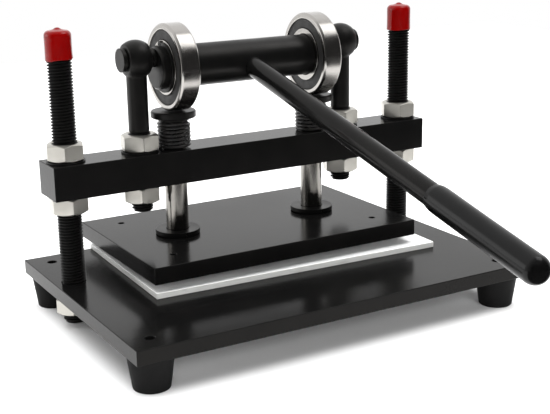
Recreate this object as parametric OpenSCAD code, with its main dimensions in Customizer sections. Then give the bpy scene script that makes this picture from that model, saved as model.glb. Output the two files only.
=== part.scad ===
// Hand cranked bench press for embossing leather belts, in millimetres.
// The origin is the centre of the base plate's underside. +Z is up, +X runs to the right
// along the front edge, and -Y points at the person who pulls the handle.

/* [Base plate] */
// Width of the base plate
base_w = 360; // [300:1:420]
// Depth of the base plate
base_d = 244; // [200:1:300]
// Thickness of the base plate
base_t = 12; // [9:0.5:20]
// Chamfer that is broken along the edges of every plate and bar
edge_chamfer = 0.6; // [0.3:0.1:1.2]
// Distance from the plate's left and right edges to the holes at its corners
foot_inset_x = 18.5; // [18:0.5:30]
// Distance from the plate's front and back edges to the holes at its corners
foot_inset_y = 19; // [18.5:0.5:28]

/* [Feet] */
// Height of a rubber foot
foot_h = 26; // [24:1:40]
// Diameter of a foot where it meets the plate
foot_top_d = 35; // [30:1:36]
// Diameter of a foot on the bench
foot_bottom_d = 28; // [22:1:34]
// Rounding of a foot's lower rim
foot_rim_r = 1.5; // [0.5:0.1:3]
// Diameter of the foot's screw, and of the corner holes that take it
foot_screw_d = 8; // [5:0.5:9]
// Diameter of the foot screw's head
foot_head_d = 14; // [12:0.5:16]
// Thickness of the foot screw's head
foot_head_t = 5; // [3:0.5:6]
// How far the screw stops below the top of the base plate
foot_screw_short = 5; // [3:0.5:6]

/* [Columns] */
// Diameter of the two threaded columns
column_d = 20; // [16:0.5:21]
// Distance from the base plate's side edge to a column's axis
column_inset = 16.5; // [16:0.5:20]
// Distance from the base plate's back edge to the row of columns and the bar
press_inset = 77.5; // [75:0.5:90]
// Height of the columns above the base plate
column_h = 203.5; // [195:0.5:240]
// Length of the thread that shows under the lower nut
column_tail = 8; // [2:0.5:8]
// Pitch of the columns' thread
thread_pitch = 2.5; // [1.5:0.5:3]

/* [Column caps] */
// Outer diameter of a vinyl cap
cap_d = 22.6; // [22:0.1:26]
// Length of a cap's sleeve on the column
cap_grip = 21.5; // [15:0.5:28]
// Rounding of a cap's shoulder
cap_shoulder_r = 4; // [1:0.1:4.5]
// Rise of a cap's crown from the shoulder to the tip
cap_crown = 2.2; // [1:0.1:3]
// Diameter of the small teat that dipping leaves on a cap's crown
cap_teat_d = 5; // [3:0.5:6]

/* [Nuts] */
// Width of the large nuts across their flats
nut_af = 28.5; // [27:0.5:31]
// Thickness of the large nuts
nut_t = 14; // [10:0.5:15]
// Diameter of the washers under the nuts on top of the bar
washer_d = 32; // [29:0.5:35]
// Thickness of those washers
washer_t = 1.5; // [1:0.1:3]

/* [Crossbeam] */
// How far the bar runs past a column's axis
beam_end = 16.5; // [16:0.5:25]
// Depth of the bar, front to back
beam_d = 36; // [34:1:44]
// Height of the bar
beam_h = 28; // [20:1:36]
// Height of the bar's underside above the base plate
beam_z = 73; // [68:1:85]

/* [Eyebolts] */
// Distance from the press's middle to an eyebolt
eye_x = 99; // [98.5:0.5:104]
// Height of the crank pins' axis above the bar's top
eye_rise = 76.5; // [75:0.5:90]
// Diameter of an eyebolt's round head
eye_ball_d = 31.5; // [28:0.5:36]
// Width of the head between its two flats
eye_ball_w = 19.5; // [18:0.5:26]
// Diameter of an eyebolt's plain shank
eye_shank_d = 17; // [14:0.5:17.5]
// Diameter of an eyebolt's thread
eye_thread_d = 18; // [14:0.5:19]
// Length of the thread that shows under the lower nut
eye_tail = 8; // [3:0.5:10]

/* [Eccentric shaft] */
// Diameter of the shaft
shaft_d = 35; // [34:0.5:36]
// How far the shaft stands out of each bearing
shaft_overhang = 8; // [5:0.5:10]
// Diameter of the crank pins at its ends
crank_pin_d = 16; // [13:0.5:16.5]
// Throw, from the crank pins' axis to the shaft's own axis
crank_throw = 9; // [7:0.25:9.25]
// Lean of the throw from straight down towards the front, with the handle as shown
throw_lean = 19.5; // [10:0.5:30]
// Diameter of the discs that keep the eyebolts on the crank pins
pin_disc_d = 19.5; // [18:0.5:24]
// Thickness of those discs
pin_disc_t = 3.5; // [2.5:0.5:5]

/* [Handle] */
// Diameter of the handle rod
handle_d = 17; // [14:0.5:18]
// Distance from the shaft's axis to the handle's rounded tip
handle_reach = 380; // [360:1:400]
// Fall of the handle below the horizontal, as shown
handle_fall = 13.5; // [8:0.1:16]
// Diameter of the grip
grip_d = 20; // [19:0.5:24]
// Length of the grip
grip_l = 112; // [90:1:140]
// Diameter of the spigot that screws into the shaft
spigot_d = 14; // [10:0.5:14]

/* [Bearings] */
// Outer diameter of a bearing
bearing_od = 72; // [70:0.5:74]
// Width of a bearing
bearing_w = 17; // [15:0.5:18]
// Distance from the press's middle to the middle of a bearing and its plunger
plunger_x = 67.5; // [66:0.5:69]
// Outer diameter of a bearing's inner ring
inner_ring_d = 45; // [43:0.5:47]
// Bore of a bearing's outer ring at its seals
outer_ring_bore = 62; // [61:0.5:63]
// Diameter of a bearing ball
ball_d = 11; // [10:0.5:11.5]
// Number of balls in a bearing
ball_count = 9; // [7:1:10]
// How far the seals lie inside the bearing's faces
seal_recess = 0.8; // [0.5:0.1:1.2]
// Thickness of a seal
seal_t = 1.2; // [0.8:0.1:1.4]

/* [Plungers] */
// Diameter of the chromed guide rods
rod_d = 19; // [16:0.5:19.5]
// Diameter of a plunger's head
head_d = 38; // [34:0.5:38.5]
// Thickness of a plunger's head
head_t = 6; // [4:0.5:8]
// Diameter of the neck under the head
neck_d = 26; // [25:0.5:28]
// Height of the neck under the head
neck_h = 2.5; // [1.5:0.5:4]
// Diameter of the shaft collars on the press plate
collar_d = 38; // [34:0.5:42]
// Height of a shaft collar
collar_h = 4.5; // [4:0.5:8]

/* [Springs] */
// Diameter of the spring's wire
spring_wire_d = 2.5; // [2:0.1:2.7]
// Outer diameter of a spring
spring_od = 27.6; // [26.5:0.1:30]
// Turns of a spring
spring_turns = 5; // [3:1:5]

/* [Press plate] */
// Gap between the press plate's side and a column
plate_column_gap = 28; // [20:0.5:40]
// Depth of the press plate
plate_d = 157; // [140:1:180]
// Thickness of the press plate
plate_t = 14; // [10:0.5:16]
// Height of the press plate's underside above the base plate
plate_z = 12; // [11:0.5:20]
// How far the plate's middle lies in front of the rods and the die holes' middle
plate_forward = 1; // [0:0.5:5]
// Distance from the press plate's left and right edges to the die holes
die_inset_x = 28; // [24:0.5:32]
// Distance from the press plate's front and back edges to the die holes, on average
die_inset_y = 25; // [16:0.5:30]
// Diameter of the die holes
die_hole_d = 5.5; // [4:0.5:7]
// Diameter of the screws that hold the press plate on the rods
plate_screw_d = 10; // [8:0.5:11]

/* [Cutting board] */
// How much further than the press plate the loose plastic board reaches to each side
board_margin_x = 7; // [0:0.5:12]
// How much deeper than the press plate the board is, at the front and at the back
board_margin_y = 0; // [0:0.5:1]
// Thickness of the board
board_t = 5; // [3:0.5:8]
// How far the board lies to the right of the press's middle
board_shift_x = 11; // [0:0.5:12]
// How far the board's middle lies in front of the rods
board_forward = 4.5; // [4:0.5:30]
// Turn of the board as it was laid down
board_turn = -2; // [-2:0.1:2]

/* [Hidden] */

// Roundness of turned parts
$fn = 96;
// How far a cut runs past the face it opens
overrun = 1;
// Radial play of a thread or a close plain fit that is put together once
fit_play = 0.05;
// Radial play of a part that slides or turns in its hole
running_play = 0.08;
// Gap between soft or rough faces of neighbouring parts that only pass each other
free_gap = 0.3;
// Chamfer on the ends of turned parts
end_chamfer = 1;

// Places across the base plate
foot_x = base_w / 2 - foot_inset_x;
foot_y = base_d / 2 - foot_inset_y;
column_x = base_w / 2 - column_inset;
press_y = base_d / 2 - press_inset;
beam_w = 2 * (column_x + beam_end);
plate_w = 2 * (column_x - column_d / 2 - plate_column_gap);
die_hole_dx = plate_w - 2 * die_inset_x;
die_hole_dy = plate_d - 2 * die_inset_y;
board_w = plate_w + 2 * board_margin_x;
board_d = plate_d + 2 * board_margin_y;

// Heights
bed_z = base_t;
beam_bottom_z = bed_z + beam_z;
beam_top_z = beam_bottom_z + beam_h;
eye_axis_z = beam_top_z + eye_rise;
plate_bottom_z = bed_z + plate_z;
plate_top_z = plate_bottom_z + plate_t;
column_top_z = bed_z + column_h;
upper_nut_z = beam_top_z + washer_t;

// The shaft's own axis, below and in front of the crank pins
shaft_axis_y = press_y - crank_throw * sin(throw_lean);
shaft_axis_z = eye_axis_z - crank_throw * cos(throw_lean);

// Foot screws
foot_head_recess = foot_h / 2;
foot_screw_tip_z = base_t - foot_screw_short;

// Nut corners are turned off by a cone this steep, down to a round face this much of the width
nut_cone_angle = 30;
nut_face_share = 0.92;
nut_corner_r = nut_af / 2 / cos(30);
// Turn of each large nut, as it was tightened
base_nut_turns = [4, 22];
upper_column_nut_turns = [10, 4];
lower_column_nut_turns = [24, 14];
upper_eye_nut_turns = [19, 16];
lower_eye_nut_turns = [7, 10];

// The bar's holes
beam_column_hole_d = column_d + 4 * free_gap;
beam_eye_hole_d = eye_thread_d + 2 * free_gap;

// Threads: the crest and the root are each an eighth of the pitch wide
crest_share = 1 / 8;
root_share = 1 / 8;
thread_depth_share = 0.64;
thread_depth = thread_depth_share * thread_pitch;

// Column caps: the round shoulder ends above the column's top by this much of its rounding, and
// the crown then rises as a cone for this much of its height
cap_shoulder_rise_share = 0.5;
cap_cone_share = 0.5;
cap_teat_tip_share = 0.6;

// Eyebolts
eye_foot_z = beam_bottom_z - nut_t - eye_tail;
eye_thread_top_z = upper_nut_z + nut_t + thread_pitch;

// Bearings
bearing_chamfer = 1.1;
ball_pitch_r = (inner_ring_d + outer_ring_bore) / 4;
ball_play = 0.06;
groove_r = ball_d / 2 + ball_play;
inner_race_r = inner_ring_d / 2;
outer_race_r = outer_ring_bore / 2;
seal_gap = free_gap;
// The cage runs outside the balls' centres, where its pockets are narrower than the balls
cage_wall = 1.2;
cage_lift = 3;
cage_rail = 0.9;
cage_pocket_play = 0.25;
cage_pocket_r = sqrt(pow(ball_d / 2, 2) - pow(cage_lift - cage_wall / 2, 2)) + cage_pocket_play;
cage_w = 2 * (cage_pocket_r + cage_rail);

// Shaft ends, each with a groove for the retaining ring that holds the bearing
bearing_face_x = plunger_x + bearing_w / 2;
shaft_end_x = bearing_face_x + shaft_overhang;
shaft_end_chamfer = 1.5;
// Crank pins, each with a spigot for the disc outside the eyebolt's head
pin_disc_gap = 0.8;
crank_pin_end_x = eye_x + eye_ball_w / 2 + pin_disc_gap;
pin_spigot_d = 10;
pin_spigot_share = 0.6;
pin_spigot_end_x = crank_pin_end_x + pin_spigot_share * pin_disc_t;
// Retaining rings
clip_t = 1.5;
clip_d = 41;
clip_groove_d = 33;
clip_gap = 5;
clip_lug_d = 6;
clip_hole_d = 2.5;
clip_lug_r = (clip_d - clip_lug_d / 2) / 2;
clip_lug_turn = asin((clip_gap + clip_lug_d) / 2 / clip_lug_r);
// Lean of the ring's gap from straight up towards the back
clip_lean = 27;

// Handle
handle_seat = shaft_d / 4;
spigot_l = shaft_d / 4 + shaft_d / 5;
grip_start = handle_reach - grip_l;
grip_lead = 4;
grip_wall = (grip_d - handle_d) / 2;
grip_lip = 0.4;
rod_end = handle_reach - grip_d / 2 + grip_wall;

// Plungers
ring_clearance = 0.35;
head_top_z = shaft_axis_z - bearing_od / 2 - ring_clearance;
head_bottom_z = head_top_z - head_t;
neck_bottom_z = head_bottom_z - neck_h;
head_rim_chamfer = 0.8;
rod_spigot_d = 12;
rod_spigot_l = neck_h + head_t / 3;
grub_d = 2.5;
grub_l = 8;
// The grub screw sits halfway up the collar
grub_z = collar_h / 2;
plate_screw_head_d = 18;
plate_screw_head_t = 5.5;
plate_screw_l = 22;
plate_screw_seat_z = plate_bottom_z + plate_screw_head_t + free_gap;
plate_screw_tip_z = plate_screw_seat_z + plate_screw_l;
thread_end_room = 2;

// Springs, each one wire whose ends turn up and down to meet the neck and the bar
spring_r = (spring_od - spring_wire_d) / 2;
spring_low_z = beam_top_z;
spring_high_z = neck_bottom_z;
spring_sides = 6;
spring_rings_per_turn = 8;
spring_end_straight = spring_wire_d;
// Height in which the wire bends over from its straight end into the first turn
spring_bend_share = 0.4;
spring_bend_h = spring_bend_share * spring_wire_d;
// Part of a turn that the bend takes
spring_bend_turn_share = 0.06;
spring_coil_low = spring_low_z + spring_end_straight + spring_bend_h;
spring_coil_high = spring_high_z - spring_end_straight - spring_bend_h;
spring_pitch = (spring_coil_high - spring_coil_low) / spring_turns;

// Plates with their edges broken: s is the size, c the chamfer
module broken_box(s, c) {
    intersection() {
        linear_extrude(height = s[2]) broken_rectangle(s[0], s[1], c);
        translate([0, s[1] / 2, s[2] / 2]) rotate([90, 0, 0])
            linear_extrude(height = s[1]) broken_rectangle(s[0], s[2], c);
        translate([-s[0] / 2, 0, s[2] / 2]) rotate([90, 0, 90])
            linear_extrude(height = s[0]) broken_rectangle(s[1], s[2], c);
    }
}

module broken_rectangle(w, h, c) {
    polygon([[-w / 2 + c, -h / 2], [w / 2 - c, -h / 2], [w / 2, -h / 2 + c], [w / 2, h / 2 - c],
             [w / 2 - c, h / 2], [-w / 2 + c, h / 2], [-w / 2, h / 2 - c], [-w / 2, -h / 2 + c]]);
}

// A turned bar from z0 to z1 with a chamfer at each end
module turned_bar(d, z0, z1, c0 = end_chamfer, c1 = end_chamfer) {
    rotate_extrude()
        polygon([[0, z0], [d / 2 - c0, z0], [d / 2, z0 + c0], [d / 2, z1 - c1],
                 [d / 2 - c1, z1], [0, z1]]);
}

// A bar with its thread shown as a row of rings, from z0 to z1
module threaded_bar(d, z0, z1) {
    rings = floor((z1 - z0 - 2 * end_chamfer) / thread_pitch);
    first_z = (z0 + z1 - rings * thread_pitch) / 2;
    flank = (1 - crest_share - root_share) / 2 * thread_pitch;
    rotate_extrude()
        polygon(concat(
            [[0, z0], [d / 2 - thread_depth, z0]],
            [for (i = [0 : rings - 1])
                let (z = first_z + (i + root_share / 2) * thread_pitch)
                each [[d / 2 - thread_depth, z], [d / 2, z + flank],
                      [d / 2, z + flank + crest_share * thread_pitch],
                      [d / 2 - thread_depth, z + 2 * flank + crest_share * thread_pitch]]],
            [[d / 2 - thread_depth, z1], [0, z1]]));
}

// A hexagon nut with its corners turned off at both faces, standing on z0 round a thread
module hex_nut(z0, turn, thread_d = column_d) {
    face_r = nut_face_share * nut_af / 2;
    blank_r = nut_corner_r + overrun;
    drop = (blank_r - face_r) * tan(nut_cone_angle);
    translate([0, 0, z0])
        difference() {
            intersection() {
                rotate([0, 0, turn]) cylinder(r = nut_corner_r, h = nut_t, $fn = 6);
                rotate_extrude()
                    polygon([[0, 0], [face_r, 0], [blank_r, drop], [blank_r, nut_t - drop],
                             [face_r, nut_t], [0, nut_t]]);
            }
            translate([0, 0, -overrun])
                cylinder(d = thread_d + 2 * fit_play, h = nut_t + 2 * overrun);
        }
}

// Puts one copy at each end of the press, left first, and hands on its index
module both_sides(x) {
    for (i = [0, 1]) translate([(2 * i - 1) * x, press_y, 0]) children(i);
}

module four_corners(x, y) {
    for (sx = [-1, 1], sy = [-1, 1]) translate([sx * x, sy * y, 0]) children();
}

// Base plate, with corner holes for the feet and two holes for the columns
module base_plate() {
    color([0.10, 0.10, 0.11])
    difference() {
        broken_box([base_w, base_d, base_t], edge_chamfer);
        four_corners(foot_x, foot_y)
            translate([0, 0, -overrun])
                cylinder(d = foot_screw_d + 2 * fit_play, h = base_t + 2 * overrun);
        for (s = [-1, 1])
            translate([s * column_x, press_y, -overrun])
                cylinder(d = column_d + 2 * fit_play, h = base_t + 2 * overrun);
    }
}

// Tapered rubber feet with a deep recess for the screw's head
module rubber_feet() {
    color([0.05, 0.05, 0.05])
    four_corners(foot_x, foot_y)
        difference() {
            rotate_extrude() {
                polygon([[0, 0], [foot_top_d / 2, 0], [foot_top_d / 2, -foot_rim_r],
                         [foot_bottom_d / 2, foot_rim_r - foot_h], [0, foot_rim_r - foot_h]]);
                translate([0, -foot_h]) square([foot_bottom_d / 2 - foot_rim_r, 2 * foot_rim_r]);
                translate([foot_bottom_d / 2 - foot_rim_r, foot_rim_r - foot_h]) circle(r = foot_rim_r);
            }
            translate([0, 0, -foot_h - overrun])
                cylinder(d = foot_head_d + 2 * free_gap, h = foot_head_recess + overrun);
            translate([0, 0, -foot_h])
                cylinder(d = foot_screw_d + 2 * fit_play, h = foot_h + overrun);
        }
}

// Pan head screws, up through the feet into the base plate
module foot_screws() {
    color([0.62, 0.62, 0.60])
    four_corners(foot_x, foot_y) {
        translate([0, 0, foot_head_recess - foot_h - foot_head_t])
            turned_bar(foot_head_d, 0, foot_head_t, end_chamfer, 0);
        turned_bar(foot_screw_d, foot_head_recess - foot_h, foot_screw_tip_z, 0, end_chamfer);
    }
}

// Columns, threaded from end to end
module threaded_columns() {
    color([0.07, 0.07, 0.08])
    for (s = [-1, 1])
        translate([s * column_x, press_y, 0])
            threaded_bar(column_d, -nut_t - column_tail, column_top_z);
}

module base_nuts() {
    color([0.78, 0.77, 0.72])
    both_sides(column_x) {
        hex_nut(-nut_t, base_nut_turns[0]);
        hex_nut(-nut_t, base_nut_turns[1]);
    }
}

// Soft vinyl caps with a round shoulder and a teat, pushed over the columns' tops
module column_caps() {
    cap_bottom_z = column_top_z - cap_grip;
    shoulder_z = column_top_z + cap_shoulder_rise_share * cap_shoulder_r;
    flat_r = cap_d / 2 - cap_shoulder_r;
    color([0.85, 0.04, 0.05])
    for (s = [-1, 1])
        translate([s * column_x, press_y, 0])
            difference() {
                rotate_extrude() {
                    translate([0, cap_bottom_z])
                        square([cap_d / 2, shoulder_z - cap_shoulder_r - cap_bottom_z]);
                    polygon([[0, cap_bottom_z], [flat_r, cap_bottom_z], [flat_r, shoulder_z],
                             [cap_teat_d / 2, shoulder_z + cap_cone_share * cap_crown],
                             [cap_teat_tip_share * cap_teat_d / 2, shoulder_z + cap_crown],
                             [0, shoulder_z + cap_crown]]);
                    translate([flat_r, shoulder_z - cap_shoulder_r]) circle(r = cap_shoulder_r);
                }
                translate([0, 0, cap_bottom_z - overrun])
                    cylinder(d = column_d + 2 * fit_play, h = cap_grip + overrun);
            }
}

// Loose plastic board that the leather lies on
module cutting_board() {
    color([0.90, 0.91, 0.89])
    translate([board_shift_x, press_y - board_forward, bed_z])
        rotate([0, 0, board_turn])
            broken_box([board_w, board_d, board_t], edge_chamfer);
}

// Solid bar across the columns, with holes for columns, eyebolts and guide rods
module crossbeam() {
    color([0.09, 0.09, 0.10])
    difference() {
        translate([0, press_y, beam_bottom_z]) broken_box([beam_w, beam_d, beam_h], edge_chamfer);
        for (s = [-1, 1]) {
            beam_hole(s * column_x, beam_column_hole_d);
            beam_hole(s * eye_x, beam_eye_hole_d);
            beam_hole(s * plunger_x, rod_d + 2 * running_play);
        }
    }
}

module beam_hole(x, d) {
    translate([x, press_y, beam_bottom_z - overrun]) cylinder(d = d, h = beam_h + 2 * overrun);
}

// Flat washers between the bar and the nuts on top of it
module nut_washers() {
    color([0.08, 0.08, 0.09])
    for (x = [column_x, eye_x], s = [-1, 1])
        translate([s * x, press_y, beam_top_z])
            difference() {
                cylinder(d = washer_d, h = washer_t);
                translate([0, 0, -overrun])
                    cylinder(d = column_d + 2 * free_gap, h = washer_t + 2 * overrun);
            }
}

module upper_column_nuts() {
    color([0.78, 0.77, 0.72])
    both_sides(column_x) {
        hex_nut(upper_nut_z, upper_column_nut_turns[0]);
        hex_nut(upper_nut_z, upper_column_nut_turns[1]);
    }
}

module lower_column_nuts() {
    color([0.78, 0.77, 0.72])
    both_sides(column_x) {
        hex_nut(beam_bottom_z - nut_t, lower_column_nut_turns[0]);
        hex_nut(beam_bottom_z - nut_t, lower_column_nut_turns[1]);
    }
}

module upper_eye_nuts() {
    color([0.78, 0.77, 0.72])
    both_sides(eye_x) {
        hex_nut(upper_nut_z, upper_eye_nut_turns[0], eye_thread_d);
        hex_nut(upper_nut_z, upper_eye_nut_turns[1], eye_thread_d);
    }
}

module lower_eye_nuts() {
    color([0.78, 0.77, 0.72])
    both_sides(eye_x) {
        hex_nut(beam_bottom_z - nut_t, lower_eye_nut_turns[0], eye_thread_d);
        hex_nut(beam_bottom_z - nut_t, lower_eye_nut_turns[1], eye_thread_d);
    }
}

// Eyebolts with round heads flattened on both sides, bored for the crank pins
module eyebolts() {
    color([0.07, 0.07, 0.08])
    for (s = [-1, 1])
        translate([s * eye_x, press_y, 0])
            difference() {
                union() {
                    intersection() {
                        translate([0, 0, eye_axis_z]) sphere(d = eye_ball_d);
                        translate([-eye_ball_w / 2, -eye_ball_d / 2, eye_axis_z - eye_ball_d / 2])
                            cube([eye_ball_w, eye_ball_d, eye_ball_d]);
                    }
                    turned_bar(eye_shank_d, beam_top_z, eye_axis_z, 0, 0);
                    threaded_bar(eye_thread_d, eye_foot_z, eye_thread_top_z);
                }
                translate([-eye_ball_w / 2 - overrun, 0, eye_axis_z]) rotate([0, 90, 0])
                    cylinder(d = crank_pin_d + 2 * running_play, h = eye_ball_w + 2 * overrun);
            }
}

// Lays a shape that is turned about Z along X, at a height and depth
module along_x(x, y, z) {
    translate([x, y, z]) rotate([0, 90, 0]) children();
}

// Points a shape that is turned about Z down the handle, from the shaft's axis
module along_handle() {
    translate([0, shaft_axis_y, shaft_axis_z]) rotate([90 + handle_fall, 0, 0]) children();
}

// One bar with its two end pins turned off its own axis
module eccentric_shaft() {
    color([0.08, 0.08, 0.09])
    difference() {
        union() {
            along_x(0, shaft_axis_y, shaft_axis_z)
                turned_bar(shaft_d, -shaft_end_x, shaft_end_x, shaft_end_chamfer,
                           shaft_end_chamfer);
            along_x(0, press_y, eye_axis_z) {
                turned_bar(crank_pin_d, -crank_pin_end_x, crank_pin_end_x);
                turned_bar(pin_spigot_d, -pin_spigot_end_x, pin_spigot_end_x, end_chamfer / 2,
                           end_chamfer / 2);
            }
        }
        for (s = [-1, 1])
            at_clip(s)
                rotate_extrude()
                    translate([clip_groove_d / 2, -clip_t / 2 - fit_play])
                        square([shaft_d / 2, clip_t + 2 * fit_play]);
        along_handle() {
            translate([0, 0, handle_seat])
                cylinder(d = handle_d + 2 * fit_play, h = shaft_d);
            translate([0, 0, handle_seat - spigot_l - thread_end_room])
                cylinder(d = spigot_d + 2 * fit_play, h = shaft_d);
        }
    }
}

// Discs pressed on the crank pins' ends, which keep the eyebolts from sliding off
module pin_end_discs() {
    color([0.07, 0.07, 0.08])
    for (s = [-1, 1])
        translate([0, press_y, eye_axis_z]) rotate([0, s * 90, 0])
            difference() {
                turned_bar(pin_disc_d, crank_pin_end_x, crank_pin_end_x + pin_disc_t,
                           end_chamfer / 2, end_chamfer / 2);
                translate([0, 0, crank_pin_end_x - overrun])
                    cylinder(d = pin_spigot_d + 2 * fit_play,
                             h = pin_spigot_end_x - crank_pin_end_x + fit_play + overrun);
            }
}

// Places one side's retaining ring, flat against the bearing's inner ring
module at_clip(s) {
    along_x(s * (bearing_face_x + clip_t / 2), shaft_axis_y, shaft_axis_z) children();
}

// Snap rings with two drilled lugs, sprung into the grooves outside the bearings
module retaining_rings() {
    color([0.10, 0.10, 0.11])
    for (s = [-1, 1])
        at_clip(s) rotate([0, 0, 180 - clip_lean])
            linear_extrude(height = clip_t, center = true)
                difference() {
                    union() {
                        circle(d = clip_d);
                        both_lugs() circle(d = clip_lug_d);
                    }
                    circle(d = clip_groove_d + 2 * fit_play);
                    translate([0, -clip_gap / 2]) square([clip_d, clip_gap]);
                    both_lugs() circle(d = clip_hole_d);
                }
}

module both_lugs() {
    for (side = [-1, 1])
        rotate([0, 0, side * clip_lug_turn]) translate([clip_lug_r, 0]) children();
}

// Straight rod with a spigot that screws into the shaft
module handle_rod() {
    color([0.09, 0.09, 0.10])
    along_handle() {
        turned_bar(handle_d, handle_seat, rod_end, 0, end_chamfer);
        turned_bar(spigot_d, handle_seat - spigot_l, handle_seat, end_chamfer, 0);
    }
}

// Dipped vinyl sleeve with a round tip
module handle_grip() {
    tip_z = handle_reach - grip_d / 2;
    color([0.03, 0.03, 0.03])
    along_handle()
        difference() {
            union() {
                rotate_extrude()
                    polygon([[0, grip_start], [handle_d / 2 + grip_lip, grip_start],
                             [grip_d / 2, grip_start + grip_lead], [grip_d / 2, tip_z], [0, tip_z]]);
                translate([0, 0, tip_z]) sphere(d = grip_d);
            }
            translate([0, 0, grip_start - overrun])
                cylinder(d = handle_d + 2 * fit_play, h = rod_end - grip_start + overrun);
        }
}

// Places one side's bearing piece on the shaft
module at_bearing(s) {
    along_x(s * plunger_x, shaft_axis_y, shaft_axis_z) children();
}

// Profile of a ring between two radii, with broken edges
module ring_profile(r_in, r_out, c_in, c_out) {
    polygon([[r_in + c_in, -bearing_w / 2], [r_out - c_out, -bearing_w / 2],
             [r_out, c_out - bearing_w / 2], [r_out, bearing_w / 2 - c_out],
             [r_out - c_out, bearing_w / 2], [r_in + c_in, bearing_w / 2],
             [r_in, bearing_w / 2 - c_in], [r_in, c_in - bearing_w / 2]]);
}

module inner_ring(s) {
    color([0.72, 0.72, 0.72])
    at_bearing(s)
        rotate_extrude() difference() {
            ring_profile(shaft_d / 2 + fit_play, inner_race_r, bearing_chamfer / 2, 0);
            translate([ball_pitch_r, 0]) circle(r = groove_r);
        }
}

module outer_ring(s) {
    color([0.76, 0.76, 0.76])
    at_bearing(s)
        rotate_extrude() difference() {
            ring_profile(outer_race_r, bearing_od / 2, 0, bearing_chamfer);
            translate([ball_pitch_r, 0]) circle(r = groove_r);
        }
}

module ball_set(s) {
    color([0.80, 0.80, 0.80])
    at_bearing(s)
        for (i = [0 : ball_count - 1])
            rotate([0, 0, i * 360 / ball_count]) translate([ball_pitch_r, 0, 0]) sphere(d = ball_d);
}

// Pressed cage that keeps the balls apart
module ball_cage(s) {
    cage_r = ball_pitch_r + cage_lift;
    color([0.55, 0.50, 0.40])
    at_bearing(s)
        difference() {
            cylinder(r = cage_r + cage_wall / 2, h = cage_w, center = true);
            cylinder(r = cage_r - cage_wall / 2, h = cage_w + 2 * overrun, center = true);
            for (i = [0 : ball_count - 1])
                rotate([0, 0, i * 360 / ball_count]) translate([cage_r, 0, 0])
                    rotate([0, 90, 0])
                        cylinder(r = cage_pocket_r, h = ball_d, center = true);
        }
}

// Rubber seals, held in the outer ring and just clear of the inner ring
module seals(s) {
    color([0.16, 0.16, 0.17])
    at_bearing(s)
        for (side = [-1, 1])
            translate([0, 0, side * (bearing_w / 2 - seal_recess - seal_t / 2)])
                difference() {
                    cylinder(r = outer_race_r - fit_play, h = seal_t, center = true);
                    cylinder(r = inner_race_r + seal_gap, h = seal_t + 2 * overrun, center = true);
                }
}

// Mushroom heads that the bearings roll on
module plunger_heads() {
    color([0.07, 0.07, 0.08])
    for (s = [-1, 1])
        translate([s * plunger_x, press_y, 0])
            difference() {
                union() {
                    turned_bar(head_d, head_bottom_z, head_top_z, head_rim_chamfer, head_rim_chamfer);
                    turned_bar(neck_d, neck_bottom_z, head_bottom_z, 0, 0);
                }
                translate([0, 0, neck_bottom_z - overrun])
                    cylinder(d = rod_spigot_d + 2 * fit_play,
                             h = rod_spigot_l + thread_end_room + overrun);
            }
}

// Chromed rods, with a threaded spigot for the head and a tapped lower end
module guide_rods() {
    color([0.80, 0.80, 0.80])
    for (s = [-1, 1])
        translate([s * plunger_x, press_y, 0])
            difference() {
                union() {
                    turned_bar(rod_d, plate_top_z, neck_bottom_z, 0, 0);
                    turned_bar(rod_spigot_d, neck_bottom_z, neck_bottom_z + rod_spigot_l, 0,
                               end_chamfer / 2);
                }
                translate([0, 0, plate_top_z - overrun])
                    cylinder(d = plate_screw_d + 2 * fit_play,
                             h = plate_screw_tip_z + thread_end_room - plate_top_z + overrun);
            }
}

// Flat collars round the rods on the plate, bevelled underneath
module shaft_collars() {
    color([0.08, 0.08, 0.09])
    for (s = [-1, 1])
        translate([s * plunger_x, press_y, plate_top_z])
            difference() {
                turned_bar(collar_d, 0, collar_h, end_chamfer, end_chamfer / 2);
                translate([0, 0, -overrun])
                    cylinder(d = rod_d + 2 * fit_play, h = collar_h + 2 * overrun);
                grub_hole(grub_d + 2 * fit_play);
            }
}

// A hole or a screw through the collar's front, from the rod outwards
module grub_hole(d) {
    translate([0, -rod_d / 2, grub_z]) rotate([90, 0, 0]) cylinder(d = d, h = collar_d / 2);
}

module collar_grub_screws() {
    color([0.15, 0.15, 0.16])
    for (s = [-1, 1])
        translate([s * plunger_x, press_y - rod_d / 2 - fit_play, plate_top_z + grub_z])
            rotate([90, 0, 0]) turned_bar(grub_d, 0, grub_l, end_chamfer / 2, end_chamfer / 2);
}

// One point of the wire's middle line: t runs from 0 to 1 along the coil
function coil_point(t) =
    [spring_r * cos(360 * spring_turns * t), spring_r * sin(360 * spring_turns * t),
     spring_coil_low + t * (spring_coil_high - spring_coil_low)];

coil_steps = spring_turns * spring_rings_per_turn;
bend_angle = 360 * spring_bend_turn_share;
spring_path = concat(
    [[spring_r * cos(-bend_angle), spring_r * sin(-bend_angle), spring_low_z],
     [spring_r * cos(-bend_angle), spring_r * sin(-bend_angle), spring_low_z + spring_end_straight]],
    [for (i = [0 : coil_steps]) coil_point(i / coil_steps)],
    [[spring_r * cos(bend_angle), spring_r * sin(bend_angle), spring_high_z - spring_end_straight],
     [spring_r * cos(bend_angle), spring_r * sin(bend_angle), spring_high_z]]);

function unit(v) = v / norm(v);
last_point = len(spring_path) - 1;
// Direction of the wire at each point, straight up at both ends
function wire_direction(i) =
    (i <= 1 || i >= last_point - 1) ? [0, 0, 1] : unit(spring_path[i + 1] - spring_path[i - 1]);
// Outward direction, made square to the wire
function wire_outward(i) =
    let (p = spring_path[i], d = wire_direction(i), o = unit([p[0], p[1], 0])) unit(o - (o * d) * d);

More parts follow.
